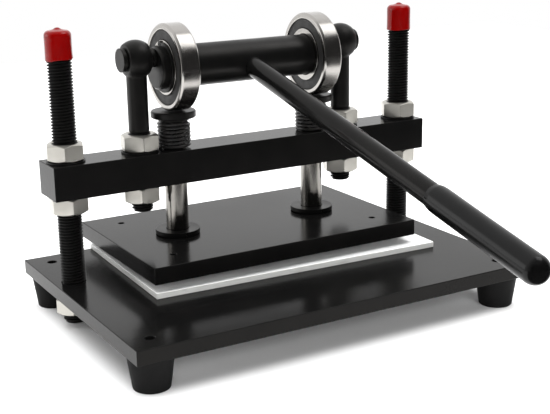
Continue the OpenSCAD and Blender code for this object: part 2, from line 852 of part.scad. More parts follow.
// Six sided wire swept along the path as one closed solid
module spring_wire() {
    corners = [for (i = [0 : last_point])
        let (d = wire_direction(i), o = wire_outward(i), w = cross(d, o))
        for (k = [0 : spring_sides - 1])
            spring_path[i] + (o * cos(360 * k / spring_sides) + w * sin(360 * k / spring_sides))
                             * spring_wire_d / 2];
    side_faces = [for (i = [0 : last_point - 1], k = [0 : spring_sides - 1])
        let (n = (k + 1) % spring_sides, a = i * spring_sides, b = a + spring_sides)
        each [[a + k, b + k, b + n], [a + k, b + n, a + n]]];
    first_end = [for (k = [1 : spring_sides - 2]) [0, k, k + 1]];
    e = last_point * spring_sides;
    last_end = [for (k = [1 : spring_sides - 2]) [e, e + k + 1, e + k]];
    polyhedron(points = corners, faces = concat(side_faces, first_end, last_end));
}

// Least distance between stretches of wire at least half a turn apart, less the wire itself
half_turn = spring_rings_per_turn / 2;
spring_least_gap = min([for (i = [0 : last_point], j = [0 : last_point])
    if (j - i > half_turn + 1) norm(spring_path[i] - spring_path[j])]) - spring_wire_d;
echo(spring_least_gap = spring_least_gap, spring_pitch = spring_pitch);

module return_spring(s) {
    color([0.08, 0.08, 0.09])
    translate([s * plunger_x, press_y, 0]) spring_wire();
}

// Plate that carries the dies, with through holes to bolt them on
module press_plate() {
    color([0.10, 0.10, 0.11])
    difference() {
        translate([0, press_y - plate_forward, plate_bottom_z])
            broken_box([plate_w, plate_d, plate_t], edge_chamfer);
        translate([0, press_y, plate_bottom_z - overrun])
            four_corners(die_hole_dx / 2, die_hole_dy / 2)
                cylinder(d = die_hole_d, h = plate_t + 2 * overrun);
        for (s = [-1, 1])
            translate([s * plunger_x, press_y, plate_bottom_z - overrun]) {
                cylinder(d = plate_screw_d + 2 * fit_play, h = plate_t + 2 * overrun);
                cylinder(d = plate_screw_head_d + 2 * free_gap,
                         h = plate_screw_head_t + free_gap + overrun);
            }
    }
}

// Sunk screws, up through the press plate into the rods
module press_plate_screws() {
    color([0.20, 0.20, 0.21])
    for (s = [-1, 1])
        translate([s * plunger_x, press_y, 0]) {
            turned_bar(plate_screw_head_d, plate_screw_seat_z - plate_screw_head_t,
                       plate_screw_seat_z, end_chamfer / 2, 0);
            turned_bar(plate_screw_d, plate_screw_seat_z, plate_screw_tip_z, 0, end_chamfer);
        }
}

base_plate();
rubber_feet();
foot_screws();
threaded_columns();
base_nuts();
column_caps();
cutting_board();
crossbeam();
nut_washers();
upper_column_nuts();
lower_column_nuts();
eyebolts();
upper_eye_nuts();
lower_eye_nuts();
eccentric_shaft();
pin_end_discs();
retaining_rings();
handle_rod();
handle_grip();
inner_ring(-1);  // left_inner_ring
outer_ring(-1);  // left_outer_ring
ball_set(-1);  // left_ball_set
ball_cage(-1);  // left_ball_cage
seals(-1);  // left_seals
inner_ring(1);  // right_inner_ring
outer_ring(1);  // right_outer_ring
ball_set(1);  // right_ball_set
ball_cage(1);  // right_ball_cage
seals(1);  // right_seals
plunger_heads();
guide_rods();
return_spring(-1);  // left_spring
return_spring(1);  // right_spring
shaft_collars();
collar_grub_screws();
press_plate();
press_plate_screws();
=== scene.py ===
import math

import bmesh
import bpy
from mathutils import Matrix, Vector


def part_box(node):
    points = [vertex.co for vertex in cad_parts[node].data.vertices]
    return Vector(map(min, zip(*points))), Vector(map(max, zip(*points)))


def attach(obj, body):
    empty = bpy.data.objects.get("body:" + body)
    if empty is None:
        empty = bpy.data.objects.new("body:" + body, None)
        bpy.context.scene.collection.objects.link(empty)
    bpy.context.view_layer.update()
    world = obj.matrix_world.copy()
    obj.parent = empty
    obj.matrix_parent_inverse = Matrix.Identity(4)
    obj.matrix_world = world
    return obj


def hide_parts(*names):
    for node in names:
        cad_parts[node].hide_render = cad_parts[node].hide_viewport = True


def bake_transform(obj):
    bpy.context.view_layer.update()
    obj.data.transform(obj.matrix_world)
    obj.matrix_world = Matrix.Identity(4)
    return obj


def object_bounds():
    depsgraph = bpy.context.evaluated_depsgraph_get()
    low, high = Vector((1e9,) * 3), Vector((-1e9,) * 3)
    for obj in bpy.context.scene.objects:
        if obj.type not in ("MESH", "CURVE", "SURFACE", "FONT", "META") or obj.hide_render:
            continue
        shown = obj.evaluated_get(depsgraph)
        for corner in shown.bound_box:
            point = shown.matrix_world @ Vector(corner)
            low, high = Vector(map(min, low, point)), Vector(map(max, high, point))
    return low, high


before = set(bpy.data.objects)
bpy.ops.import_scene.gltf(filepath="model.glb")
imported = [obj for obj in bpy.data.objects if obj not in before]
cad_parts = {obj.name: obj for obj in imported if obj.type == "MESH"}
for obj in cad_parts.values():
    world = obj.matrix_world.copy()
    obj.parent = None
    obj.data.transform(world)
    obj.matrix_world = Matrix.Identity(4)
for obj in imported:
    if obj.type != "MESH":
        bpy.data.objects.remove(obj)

cad_low, cad_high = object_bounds()
mm = 0.001

# Camera
# The press was photographed from the front left, a little above its cap tops, with a long lens,
# so that the plates' edges run nearly parallel. Depth of field stays off.
camera_place = Vector((-457.6, -796.5, 313.8)) * mm
camera_azimuth = math.radians(-30.06)
camera_elevation = math.radians(15.42)
camera_roll = math.radians(-0.94)
camera_lens = 73.41
camera_back = Vector((math.sin(camera_azimuth) * math.cos(camera_elevation),
                      -math.cos(camera_azimuth) * math.cos(camera_elevation),
                      math.sin(camera_elevation)))
camera_level = Vector((0, 0, 1)).cross(camera_back).normalized()
camera_turn = Matrix.Rotation(camera_roll, 3, camera_back)
camera_right = camera_turn @ camera_level
camera_up = camera_turn @ camera_back.cross(camera_level)
photo_camera = bpy.data.objects.new("photo_camera", bpy.data.cameras.new("photo_camera"))
photo_camera.data.sensor_width = 36
photo_camera.data.lens = camera_lens
photo_camera.data.clip_start = 10 * mm
photo_camera.matrix_world = Matrix((camera_right, camera_up, camera_back)).transposed().to_4x4()
photo_camera.location = camera_place
bpy.context.scene.collection.objects.link(photo_camera)
bpy.context.scene.camera = photo_camera

# Studio
# A wide white table under soft boxes, with bright paper behind the press. In front of it the room
# and a black cloth are dark, which only the polished rings and the black faces mirror.
bpy.context.scene.view_settings.view_transform = "Standard"
table_half = 1.6
table_z = cad_low.z
cloth_half = 3.0
cloth_near, cloth_far = -0.30, -3.0
cloth_z = table_z + 1 * mm
room_front, room_back, room_blend = 0.05, 1.6, 0.35
ceiling_start, ceiling_full, ceiling_light = 0.6, 0.85, 0.42
press_middle = (0, 0.03, 0.1)


def add(tree, kind, inputs=None, **settings):
    """Adds a shader node. Each input is a value, or the output of another node."""
    made = tree.nodes.new("ShaderNode" + kind)
    for key, value in settings.items():
        setattr(made, key, value)
    for key, value in (inputs or {}).items():
        if isinstance(value, bpy.types.NodeSocket):
            tree.links.new(value, made.inputs[key])
        else:
            made.inputs[key].default_value = value
    return made


def on_shader(tree, socket):
    return tree.nodes["Principled BSDF"].inputs[socket.replace("_", " ")]


def finish(name, colour, slot=None, **sockets):
    """A new material with plain values on its shader's own sockets, and its node tree."""
    material = bpy.data.materials.new(name)
    material.use_nodes = True
    on_shader(material.node_tree, "Base Color").default_value = (*colour, 1)
    for socket, value in sockets.items():
        on_shader(material.node_tree, socket).default_value = value
    return material, material.node_tree


def sheet(name, low, high, z, grey, **surface):
    """A plain flat sheet between two corners."""
    mesh = bpy.data.meshes.new(name)
    mesh.from_pydata([(low[0], low[1], 0), (high[0], low[1], 0), (high[0], high[1], 0),
                      (low[0], high[1], 0)], [], [(0, 1, 2, 3)])
    mesh.materials.append(finish(name + "_surface", (grey, grey, grey), **surface)[0])
    made = bpy.data.objects.new(name, mesh)
    made.location.z = z
    bpy.context.scene.collection.objects.link(made)
    return made


def soft_box(name, place, width, height, radiance, **seen_by):
    """A soft box that faces the middle of the press."""
    light = bpy.data.lights.new(name, "AREA")
    light.shape = "RECTANGLE"
    light.size, light.size_y = width, height
    light.energy = radiance * math.pi * width * height
    box = bpy.data.objects.new(name, light)
    bpy.context.scene.collection.objects.link(box)
    box.location = place
    box.rotation_mode = "QUATERNION"
    box.rotation_quaternion = (Vector(press_middle) - Vector(place)).to_track_quat("-Z", "Y")
    for ray, seen in seen_by.items():
        setattr(box, "visible_" + ray, seen)


table = sheet("table", (-table_half, -table_half), (table_half, table_half), table_z,
              grey=0.9, Roughness=0.9, Specular_IOR_Level=0.1)
black_cloth = sheet("black_cloth", (-cloth_half, cloth_far), (cloth_half, cloth_near), cloth_z,
                    grey=0.03, Roughness=1.0, Specular_IOR_Level=0.0)
for ray in ("camera", "diffuse", "shadow", "transmission"):
    setattr(black_cloth, "visible_" + ray, False)

world = bpy.data.worlds.new("studio")
bpy.context.scene.world = world
world.use_nodes = True
sky = world.node_tree
sky.nodes.clear()
sky_direction = add(sky, "SeparateXYZ", {"Vector": add(sky, "TexCoord").outputs["Generated"]})
back_light = add(sky, "MapRange", {"Value": sky_direction.outputs["Y"], "From Min": -room_blend,
                                   "From Max": room_blend, "To Min": room_front,
                                   "To Max": room_back})
top_light = add(sky, "MapRange", {"Value": sky_direction.outputs["Z"], "From Min": ceiling_start,
                                  "From Max": ceiling_full, "To Min": 0.0,
                                  "To Max": ceiling_light})
room_light = add(sky, "Math", {0: back_light.outputs[0], 1: top_light.outputs[0]},
                 operation="MAXIMUM")
room = add(sky, "Background", {"Strength": room_light.outputs[0]})
backdrop = add(sky, "Background", {"Color": (1, 1, 1, 1), "Strength": 1.0})
seen = add(sky, "MixShader", {"Fac": add(sky, "LightPath").outputs["Is Camera Ray"],
                              1: room.outputs[0], 2: backdrop.outputs[0]})
add(sky, "OutputWorld", {"Surface": seen.outputs[0]})

soft_box("overhead_fill", (0.1, 0.3, 2.4), width=3.4, height=3.2, radiance=3.6, glossy=False)
soft_box("front_fill", (-0.5, -1.9, 0.7), width=1.8, height=1.0, radiance=5.5, glossy=False)
soft_box("overhead_box", (0.64, -0.27, 1.42), width=0.8, height=0.75, radiance=3.0)
soft_box("left_back_box", (-1.5, 0.9, 0.5), width=0.8, height=0.8, radiance=1.7)

# Base plate
# Mild steel plate, sawn square, its edges broken, drilled at the corners for the feet and behind
# the middle for the columns, and stoved satin black. It stands on the four feet.
base_edge = 0.6 * mm
foot_hole_d = 8.1 * mm
foot_top_d = 35 * mm
column_d = 20 * mm
column_play = 0.1 * mm
hole_flare = 0.35 * mm
cut_past = 1 * mm
weld_gap = 0.002 * mm
axis_gap = 1e-9
corner_share = 0.49
corners = (("front_left", -1, -1), ("front_right", 1, -1), ("back_left", -1, 1),
           ("back_right", 1, 1))
sides = (("left", -1), ("right", 1))


def show(name, mesh, material, body, node, at=(0, 0, 0), turn=None, sharp=35):
    """Puts a mesh in the scene as a piece of the press, with smooth faces up to an angle."""
    mesh.polygons.foreach_set("use_smooth", [True] * len(mesh.polygons))
    mesh.set_sharp_from_angle(angle=math.radians(sharp))
    mesh.materials.clear()
    mesh.materials.append(material)
    piece = bpy.data.objects.new(name, mesh)
    bpy.context.scene.collection.objects.link(piece)
    piece.matrix_world = Matrix.Translation(at) @ (turn or Matrix.Identity(4))
    weighted = piece.modifiers.new("flat_faces_lead", "WEIGHTED_NORMAL")
    weighted.keep_sharp = True
    if body:
        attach(piece, body)
    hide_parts(node)
    return piece


def as_mesh(shape):
    mesh = bpy.data.meshes.new("shape")
    shape.to_mesh(mesh)
    shape.free()
    return mesh


def block(low, high, edge):
    """A square bar or plate with rounded edges, between two corners."""
    shape = bmesh.new()
    bmesh.ops.create_cube(shape, size=1)
    size, middle = Vector(high) - Vector(low), (Vector(high) + Vector(low)) / 2
    for v in shape.verts:
        v.co = Vector([v.co[i] * size[i] for i in range(3)]) + middle
    bmesh.ops.bevel(shape, geom=list(shape.edges), offset=edge, segments=3, profile=0.5,
                    affect="EDGES")
    return as_mesh(shape)


def skin(rows, closed=False, wrap=True):
    """A mesh over rows of points. A row runs round, or is open without wrap, or is a tip."""
    around = max(len(row) for row in rows)
    vertices, numbers, faces = [], [], []
    for row in rows:
        first = len(vertices)
        vertices += [tuple(point) for point in row]
        numbers.append(list(range(first, first + around)) if len(row) > 1 else [first] * around)
    for below, above in zip(numbers, numbers[1:] + (numbers[:1] if closed else [])):
        for i in range(around if wrap else around - 1):
            n = (i + 1) % around
            faces.append(list(dict.fromkeys([below[i], below[n], above[n], above[i]])))
    mesh = bpy.data.meshes.new("skin")
    mesh.from_pydata(vertices, [], faces)
    mesh.validate()
    return mesh


def turned(profile, steps=96, closed=False):
    """A part turned about Z, from a run of (radius, height) points that goes up its outside."""
    return skin([[(radius * math.cos(2 * math.pi * i / steps),
                   radius * math.sin(2 * math.pi * i / steps), height)
                  for i in range(steps if radius > axis_gap else 1)]
                 for radius, height in profile], closed)


def eased(points, radius, closed=False, steps=4):
    """The same run of points with its corners rounded."""
    made, count = [], len(points)
    for i, here in enumerate(points):
        if not closed and i in (0, count - 1):
            made.append(tuple(here))
            continue
        here = Vector(here)
        before, after = Vector(points[i - 1]), Vector(points[(i + 1) % count])
        reach = min(radius, corner_share * (before - here).length,
                    corner_share * (after - here).length)
        start = here + (before - here).normalized() * reach
        stop = here + (after - here).normalized() * reach
        for k in range(steps + 1):
            t = k / steps
            made.append(tuple(start * (1 - t) ** 2 + here * 2 * t * (1 - t) + stop * t ** 2))
    return made


def sewn(mesh):
    """The same mesh with double points joined, open ends closed and its faces turned out."""
    shape = bmesh.new()
    shape.from_mesh(mesh)
    bmesh.ops.remove_doubles(shape, verts=shape.verts, dist=weld_gap)
    bmesh.ops.dissolve_degenerate(shape, edges=shape.edges, dist=weld_gap)
    loose = [v for v in shape.verts if not v.link_faces]
    bmesh.ops.delete(shape, geom=loose, context="VERTS")
    bmesh.ops.holes_fill(shape, edges=[e for e in shape.edges if e.is_boundary])
    bmesh.ops.recalc_face_normals(shape, faces=shape.faces)
    return as_mesh(shape)


def joined(meshes):
    shape = bmesh.new()
    for mesh in meshes:
        shape.from_mesh(mesh)
    return as_mesh(shape)


def cut(mesh, cutters):
    """Takes the cutters' shapes away from a mesh."""
    body = bpy.data.objects.new("body", mesh)
    tool = bpy.data.objects.new("tool", joined(cutters))
    for o in (body, tool):
        bpy.context.scene.collection.objects.link(o)
    taken = body.modifiers.new("cut", "BOOLEAN")
    taken.object, taken.solver = tool, "EXACT"
    done = bpy.data.meshes.new_from_object(
        body.evaluated_get(bpy.context.evaluated_depsgraph_get()))
    for o in (body, tool):
        bpy.data.objects.remove(o)
    return sewn(done)


def moved(mesh, x=0, y=0, z=0, turn=None):
    mesh.transform(Matrix.Translation((x, y, z)) @ (turn or Matrix.Identity(4)))
    return mesh


def drill(diameter, x, y, low, high, flare=hole_flare):
    """The shape that a drill and a countersink take out between two heights."""
    r = diameter / 2
    wide = r + flare + cut_past
    profile = [(0, low - cut_past), (wide, low - cut_past), (r + flare, low), (r, low + flare),
               (r, high - flare), (r + flare, high), (wide, high + cut_past), (0, high + cut_past)]
    return moved(turned(profile, steps=64), x, y)


def grain(tree, scale, detail=3.0, stretch=(1, 1, 1), vector=None):
    """Noise over the piece, from 0 to 1. Scale is in grains per metre."""
    vector = vector or add(tree, "TexCoord").outputs["Object"]
    place = add(tree, "Mapping", {"Vector": vector, "Scale": stretch})
    return add(tree, "TexNoise", {"Vector": place.outputs[0], "Scale": scale,
                                  "Detail": detail}).outputs[0]


def spread(tree, value, low, high, start=0.3, stop=0.7):
    return add(tree, "MapRange", {"Value": value, "From Min": start, "From Max": stop,
                                  "To Min": low, "To Max": high}).outputs[0]


def times(tree, a, b):
    return add(tree, "Math", {0: a, 1: b}, operation="MULTIPLY").outputs[0]


def gloss(tree, noise, smooth, rough):
    """Lets the roughness wander between two values."""
    tree.links.new(spread(tree, noise, smooth, rough), on_shader(tree, "Roughness"))


def tint(tree, share, other):
    """Mixes another colour into the shader's base colour."""
    base = on_shader(tree, "Base Color")
    source = base.links[0].from_socket if base.links else tuple(base.default_value)
    mixed = add(tree, "MixRGB", {"Fac": share, "Color1": source, "Color2": (*other, 1)})
    tree.links.new(mixed.outputs[0], base)


def mottle(tree, scale, detail, most, other):
    """Patches with up to a given share of another colour."""
    tint(tree, spread(tree, grain(tree, scale, detail), 0.0, most), other)


def rub(tree, radius, noise, least, most, other, start=0.96, stop=0.80):
    """Mixes another colour in along edges, unevenly. Start and stop tell how sharp they are."""
    rounded = add(tree, "Bevel", {"Radius": radius}, samples=6)
    plain = add(tree, "NewGeometry")
    turn = add(tree, "VectorMath", {0: rounded.outputs[0], 1: plain.outputs["Normal"]},
               operation="DOT_PRODUCT")
    edges = spread(tree, turn.outputs["Value"], 0, 1, start, stop)
    tint(tree, times(tree, edges, spread(tree, noise, least, most)), other)


def bumps(tree, *layers):
    """Bumps on top of each other, each a (noise, height in metres)."""
    below = None
    for value, height in layers:
        inputs = {"Height": value, "Distance": height, "Strength": 1.0}
        if below:
            inputs["Normal"] = below
        below = add(tree, "Bump", inputs).outputs[0]
    tree.links.new(below, on_shader(tree, "Normal"))


# Stoved satin black: orange peel, dust nibs, smears, and edges rubbed to grey.
black_paint, tree = finish("black_paint", (0.0035, 0.0035, 0.0035), IOR=1.2,
                           Specular_Tint=(1.0, 0.955, 0.91, 1))
gloss(tree, grain(tree, 9, 5), 0.13, 0.24)
mottle(tree, 35, 6, 0.5, (0.007, 0.0067, 0.0064))
rub(tree, 0.9 * mm, grain(tree, 60, 5), 0.15, 0.7, (0.10, 0.10, 0.10))
bumps(tree, (grain(tree, 260, 2), 0.05 * mm), (grain(tree, 900, 2), 0.012 * mm))

base_low, base_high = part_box("base_plate")
columns_low, columns_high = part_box("threaded_columns")
feet_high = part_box("rubber_feet")[1]
foot_x = feet_high.x - foot_top_d / 2
foot_y = feet_high.y - foot_top_d / 2
column_x = columns_high.x - column_d / 2
column_y = columns_high.y - column_d / 2
base_holes = [drill(foot_hole_d, sx * foot_x, sy * foot_y, base_low.z, base_high.z)
              for corner, sx, sy in corners]
base_holes += [drill(column_d + column_play, s * column_x, column_y, base_low.z, base_high.z)
               for side, s in sides]
show("base_plate_steel", cut(block(base_low, base_high, base_edge), base_holes), black_paint,
     "base", "base_plate", sharp=40)

# Rubber feet
# Four moulded black rubber feet, wider at the top, with a deep recess for the screw that holds
# each one under the plate. Their soft lower rims stand on the table.
foot_h = 26 * mm
foot_bottom_d = 28 * mm
foot_rounding = 1.1 * mm
foot_recess_d = 14.6 * mm
foot_recess_h = 13 * mm
foot_lip_h = 1.5 * mm

# Moulded rubber: matt, faintly mottled, with a fine grain.
foot_rubber, tree = finish("foot_rubber", (0.0055, 0.0055, 0.0056),
                           Specular_IOR_Level=0.06)
gloss(tree, grain(tree, 70, 4), 0.5, 0.72)
mottle(tree, 45, 5, 0.6, (0.012, 0.0117, 0.0114))
bumps(tree, (grain(tree, 1500, 2), 0.04 * mm), (grain(tree, 120, 3), 0.06 * mm))

foot_outside = eased([
    (foot_hole_d / 2, 0), (foot_hole_d / 2, foot_recess_h - foot_h),
    (foot_recess_d / 2, foot_recess_h - foot_h), (foot_recess_d / 2, -foot_h),
    (foot_bottom_d / 2, -foot_h), (foot_top_d / 2, -foot_lip_h), (foot_top_d / 2, 0)],
    foot_rounding, closed=True)
for corner, sx, sy in corners:
    show(corner + "_foot", turned(foot_outside, closed=True), foot_rubber, "base", "rubber_feet",
         at=(sx * foot_x, sy * foot_y, base_low.z))

# Foot screws
# Zinc plated pan head screws, up through the feet into the plate. Their heads and cross slots
# show only from below, deep in the feet.
foot_screw_d = 8 * mm
foot_head_d = 14 * mm
foot_head_h = 5 * mm
foot_head_dome = 2.2 * mm
foot_head_rounding = 0.6 * mm
cross_slot_l = 8 * mm
cross_slot_w = 1.7 * mm
cross_slot_depth = 3 * mm
cross_slot_edge = 0.1 * mm

# Bright zinc over turned steel: warm silver, satin, with faint rings and dull stains.
zinc_plate, tree = finish("zinc_plate", (0.46, 0.447, 0.41), Metallic=0.9)
stain = grain(tree, 120, 5)
gloss(tree, stain, 0.28, 0.42)
mottle(tree, 55, 4, 0.45, (0.42, 0.40, 0.36))
rub(tree, 0.7 * mm, stain, 0.1, 0.6, (0.26, 0.245, 0.215), 0.9, 0.7)
bumps(tree, (grain(tree, 700, 3), 0.008 * mm),
      (grain(tree, 500, 2, stretch=(0.2, 0.2, 6)), 0.006 * mm))

screws_low, screws_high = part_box("foot_screws")
foot_screw_side = eased([(0, screws_low.z), (foot_head_d / 2, screws_low.z + foot_head_dome),
                         (foot_head_d / 2, screws_low.z + foot_head_h),
                         (foot_screw_d / 2, screws_low.z + foot_head_h),
                         (foot_screw_d / 2, screws_high.z), (0, screws_high.z)],
                        foot_head_rounding)
foot_screw = turned(foot_screw_side, steps=48)
for w, l in ((cross_slot_w, cross_slot_l), (cross_slot_l, cross_slot_w)):
    cross_slot = block((-w / 2, -l / 2, screws_low.z - cut_past),
                       (w / 2, l / 2, screws_low.z + cross_slot_depth), cross_slot_edge)
    foot_screw = cut(foot_screw, [cross_slot])
for corner, sx, sy in corners:
    show(corner + "_foot_screw", foot_screw.copy(), zinc_plate, "base", "foot_screws",
         at=(sx * foot_x, sy * foot_y, 0))

# Threaded columns
# Two M20 studs, threaded from end to end and blackened. They stand through the base plate,
# clamped by a nut below, and carry the crossbeam between nuts.
thread_pitch = 2.5 * mm
thread_depth = 1.7 * mm
thread_crest_share, thread_root_share = 1 / 9, 1 / 10
thread_spare_turns = 2
column_top_gap = 0.5 * mm


def pair(name, mesh, material, body, node, x, z=0, **how):
    """Shows the left and the right one of a piece that stands in line with the columns."""
    for side, s in sides:
        show(side + "_" + name, mesh.copy(), material, body, node, at=(s * x, column_y, z), **how)


def threaded(radius, low, high, steps=72):
    """A bar with a right-hand thread cut along it and both ends chamfered to the root."""
    crest, root = thread_crest_share * thread_pitch, thread_root_share * thread_pitch
    flank = (thread_pitch - crest - root) / 2
    tooth = [(0, -1), (root, -1), (root + flank, 0), (root + flank + crest, 0)]
    turns = math.ceil((high - low) / thread_pitch) + 2 * thread_spare_turns
    rows = []
    for k in range(-thread_spare_turns, turns - thread_spare_turns):
        for offset, depth in tooth:
            row = []
            for i in range(steps + 1):
                z = min(max(low + (k + i / steps) * thread_pitch + offset, low), high)
                r = radius + min(depth * thread_depth, min(z - low, high - z) - thread_depth)
                angle = 2 * math.pi * i / steps
                row.append((r * math.cos(angle), r * math.sin(angle), z))
            rows.append(row)
    return sewn(skin(rows, wrap=False))


# Blackened and oiled steel: deep grey, with turning marks and patches of drier oil.
black_oxide, tree = finish("black_oxide", (0.0025, 0.0025, 0.0025), IOR=1.3,
                           Specular_Tint=(1.0, 0.96, 0.92, 1))
oil = grain(tree, 30, 5)
gloss(tree, oil, 0.30, 0.48)
mottle(tree, 90, 4, 0.6, (0.0045, 0.0044, 0.0042))
rub(tree, 0.5 * mm, oil, 0.1, 0.6, (0.06, 0.058, 0.056))
bumps(tree, (grain(tree, 400, 2), 0.02 * mm),
      (grain(tree, 300, 2, stretch=(0.3, 0.3, 10)), 0.012 * mm))

# The same blackening on a cut thread, as a duller, less reflective copy kept deep black: painted
# shade for the shadow down in the grooves, with faint patches of oil and dust.
shaded_oxide_thread, tree = finish("shaded_oxide_thread", (0.0025, 0.0025, 0.0025), slot="black_oxide",
                            IOR=1.25)
gloss(tree, grain(tree, 40, 5), 0.42, 0.62)
mottle(tree, 130, 5, 0.6, (0.006, 0.0056, 0.0052))
rub(tree, 0.3 * mm, grain(tree, 50, 5), 0.0, 0.5, (0.022, 0.021, 0.020))
bumps(tree, (grain(tree, 500, 2), 0.015 * mm))

# The columns' threads take the darker copy of the blackening, as painted shade for their grooves.
pair("column", threaded(column_d / 2, columns_low.z, columns_high.z - column_top_gap),
     shaded_oxide_thread, "base", "threaded_columns", column_x, sharp=25)

# Nuts
# Ten large plated hexagon nuts: two under the base plate, four that hold the bar on the columns
# and four that hold the eyebolts. Those on top of the bar have a black washer under them.
nut_af = 28.5 * mm
nut_h = 14 * mm
nut_face_share = 0.92
nut_corner_rounding = 0.5 * mm
nut_face_step = 1.2 * mm
nut_play = 0.05 * mm
nut_countersink = 0.9 * mm
nut_edge = 0.18 * mm
nut_cone_angle = math.radians(30)
eye_thread_d = 18 * mm
eye_ball_w = 19.5 * mm
washer_r = 15.6 * mm
washer_bore_r = 10.3 * mm
washer_edge = 0.3 * mm


def hexagon_nut(turn, thread_d):
    """A nut that stands on z 0, its corners turned off at both faces."""
    nut_bore_r = thread_d / 2 + nut_play
    face_r = nut_face_share * nut_af / 2
    corner_r = nut_af / 2 / math.cos(math.pi / 6)
    outline = eased([(corner_r * math.cos(turn + k * math.pi / 3),
                      corner_r * math.sin(turn + k * math.pi / 3)) for k in range(6)],
                    nut_corner_rounding, closed=True, steps=3)
    around = []
    for a, b in zip(outline, outline[1:] + outline[:1]):
        a, b = Vector(a), Vector(b)
        pieces = max(1, round((b - a).length / nut_face_step))
        around += [a.lerp(b, k / pieces) for k in range(pieces)]
    slope = math.tan(nut_cone_angle)
    rings = []
    for p in around:
        r, out = p.length, p.normalized()
        drop = (r - face_r) * slope
        rise = [(nut_bore_r + nut_countersink, 0), (face_r, 0),
                (r - nut_edge, drop - nut_edge * slope), (r, drop + nut_edge)]
        top = [(radius, nut_h - z) for radius, z in reversed(rise)]
        inside = [(nut_bore_r, nut_h - nut_countersink), (nut_bore_r, nut_countersink)]
        rings.append([(out.x * radius, out.y * radius, z) for radius, z in rise + top + inside])
    return skin(list(zip(*rings)), closed=True)


beam_low, beam_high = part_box("crossbeam")
eyes_low, eyes_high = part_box("eyebolts")
washers_low, washers_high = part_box("nut_washers")
eye_x = eyes_high.x - eye_ball_w / 2
# Each row ends with the turns of the left and the right nut, in degrees.
nut_rows = (("base_nut", "base_nuts", "base", column_x, base_low.z - nut_h, (4, 22)),
            ("upper_column_nut", "upper_column_nuts", "crossbeam", column_x, washers_high.z,
             (10, 4)),
            ("lower_column_nut", "lower_column_nuts", "crossbeam", column_x, beam_low.z - nut_h,
             (24, 14)),
            ("upper_eye_nut", "upper_eye_nuts", "crossbeam", eye_x, washers_high.z, (19, 16)),
            ("lower_eye_nut", "lower_eye_nuts", "crossbeam", eye_x, beam_low.z - nut_h, (7, 10)))
for name, node, body, x, z, turns in nut_rows:
    thread_d = eye_thread_d if x == eye_x else column_d
    for (side, s), turn in zip(sides, turns):
        show(side + "_" + name, hexagon_nut(math.radians(turn), thread_d), zinc_plate, body, node,
             at=(s * x, column_y, z), sharp=50)
washer_side = eased([(washer_bore_r, washers_low.z), (washer_r, washers_low.z),
                     (washer_r, washers_high.z), (washer_bore_r, washers_high.z)], washer_edge,
                    closed=True, steps=2)
for name, x in (("column_washer", column_x), ("eye_washer", eye_x)):
    pair(name, turned(washer_side, closed=True), black_oxide, "crossbeam", "nut_washers", x)

# Column caps
# Soft red vinyl caps, dipped over a former, so the shoulder is round, a small nipple is left on
# top where the drip was, and the open rim is uneven. They are pushed over the columns' ends.
cap_r = 10.8 * mm
cap_bore_r = 10.05 * mm
cap_ceiling_gap = 0.2 * mm
cap_rim_lift = 0.6 * mm
cap_rim_rounding = 0.55 * mm
cap_taper = 0.1 * mm
cap_taper_h = 4 * mm
cap_waist = 0.15 * mm
cap_waist_h = 11 * mm
cap_side_drop = 6 * mm
cap_shoulder = 4.2 * mm
cap_shoulder_steps, cap_shoulder_step = 9, math.radians(9)
cap_crown_share = 0.95
cap_crown_dip = 0.1 * mm
cap_teat_r = 2.2 * mm
cap_teat_h = 2.1 * mm
cap_teat_foot = 0.9 * mm
cap_teat_foot_h = 0.75 * mm
cap_teat_tip = 0.7 * mm
cap_teat_tip_drop = 0.2 * mm
cap_teat_blend = 1.6 * mm
cap_unevenness = 1.5 * mm
cap_uneven_h = 6 * mm
cap_flare = 0.045
cap_sag_share, cap_ripple_share = 0.6, 0.3
cap_angles = (2.1, 3.6)

# Dipped vinyl: glossy, soft enough to glow a little, with faint sags in its skin.
red_vinyl, tree = finish("red_vinyl", (0.17, 0.0005, 0.0004), Subsurface_Weight=0.05,
                         Subsurface_Radius=(0.003, 0.0003, 0.0003), IOR=1.36)
gloss(tree, grain(tree, 80, 4), 0.09, 0.18)
mottle(tree, 60, 3, 0.5, (0.115, 0.0003, 0.0003))
bumps(tree, (grain(tree, 90, 2), 0.25 * mm), (grain(tree, 900, 2), 0.01 * mm))

caps_low, caps_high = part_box("column_caps")
crown_z = caps_high.z - cap_teat_h
ceiling_z = columns_high.z - cap_ceiling_gap
rim_z = caps_low.z + cap_rim_lift
cap_side = eased([(0, ceiling_z), (cap_bore_r, ceiling_z), (cap_bore_r, rim_z), (cap_r, rim_z),
                  (cap_r - cap_taper, caps_low.z + cap_taper_h),
                  (cap_r - cap_waist, caps_low.z + cap_waist_h),
                  (cap_r - cap_taper, crown_z - cap_side_drop)], cap_rim_rounding)
cap_side += [(cap_r - cap_taper - cap_shoulder * (1 - math.cos(k * cap_shoulder_step)),
              crown_z - cap_shoulder + cap_shoulder * math.sin(k * cap_shoulder_step))
             for k in range(cap_shoulder_steps)]
cap_side += eased([(cap_r - cap_crown_share * cap_shoulder, crown_z - cap_crown_dip),
                   (cap_teat_r + cap_teat_foot, crown_z + cap_teat_foot_h),
                   (cap_teat_r - cap_teat_tip, caps_high.z - cap_teat_tip_drop),
                   (0, caps_high.z)], cap_teat_blend, steps=6)
for (side, s), cap_angle in zip(sides, cap_angles):
    cap = turned(cap_side)
    for v in cap.vertices:
        angle = math.atan2(v.co.y, v.co.x) + cap_angle
        near_rim = max(0.0, 1 - (v.co.z - caps_low.z) / cap_uneven_h)
        wave = cap_sag_share * math.sin(angle) + cap_ripple_share * math.sin(3 * angle + 1)
        v.co.z += cap_unevenness * max(wave, -cap_sag_share) * near_rim
        v.co.xy *= 1 + cap_flare * max(wave, 0) * near_rim
    show(side + "_cap", cap, red_vinyl, "base", "column_caps", at=(s * column_x, column_y, 0),
         sharp=60)

